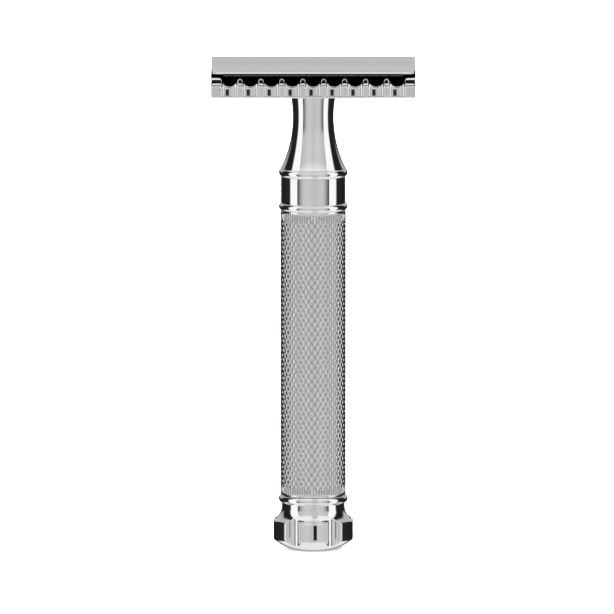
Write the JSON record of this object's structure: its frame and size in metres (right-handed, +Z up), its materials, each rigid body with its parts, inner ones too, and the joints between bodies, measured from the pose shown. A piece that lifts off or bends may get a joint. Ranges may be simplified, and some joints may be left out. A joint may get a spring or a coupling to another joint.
{
  "type": "safety razor",
  "caption": "Open-comb double-edge safety razor with an engraved tubular handle and a fluted twist knob that lifts the blade cap.",
  "frame": {"origin": "centre of the knob's flat end, on which the razor stands", "axes": "+Z up along the handle to the cap; the head's long side runs along X and the two blade edges face -Y and +Y"},
  "size_m": [0.0424, 0.0224, 0.103],
  "materials": {
    "polished_chrome": "mirror-polished chrome plate",
    "engraved_chrome": "chrome plate over fine engraved waves",
    "blade_steel": "ground stainless strip steel",
    "machined_steel": "bright turned steel",
    "turned_brass": "fine turned brass",
    "white_nylon": "natural nylon",
    "black_rubber": "matt seal rubber"
  },
  "bodies": {
    "handle": {"comb_plate": "polished_chrome", "plate_nut": "turned_brass", "neck": "polished_chrome", "upper_bead_ring": "polished_chrome", "collar": "polished_chrome", "lower_bead_ring": "polished_chrome", "grip_sleeve": "engraved_chrome", "core_tube": "machined_steel", "upper_bush": "white_nylon", "lower_bush": "white_nylon"},
    "twist_knob": {"knob": "polished_chrome", "end_plug": "polished_chrome", "knob_screw": "machined_steel", "thrust_washer": "white_nylon", "seal_ring": "black_rubber", "draw_rod": "machined_steel", "socket_pin": "machined_steel", "threaded_socket": "turned_brass"},
    "blade": {"double_edge_blade": "blade_steel"},
    "top_cap": {"cap": "polished_chrome", "cap_stud": "turned_brass", "guide_pins": "machined_steel"}
  },
  "joints": [
    {"name": "knob_turn", "type": "hinge", "parent": "handle", "child": "twist_knob", "pos_m": [0, 0, 0], "axis": [0, 0, -1], "range_deg": [0, 1890]},
    {"name": "cap_lift", "type": "slide", "parent": "handle", "child": "top_cap", "axis": [0, 0, 1], "range_m": [0, 0.0042]},
    {"name": "blade_lift", "type": "slide", "parent": "handle", "child": "blade", "axis": [0, 0, 1], "range_m": [0, 0.0021]}
  ],
  "couplings": [
    {"joint": "cap_lift", "follows": "knob_turn", "m_per_rad": 0.00012732},
    {"joint": "blade_lift", "follows": "knob_turn", "m_per_rad": 0.000063662}
  ]
}
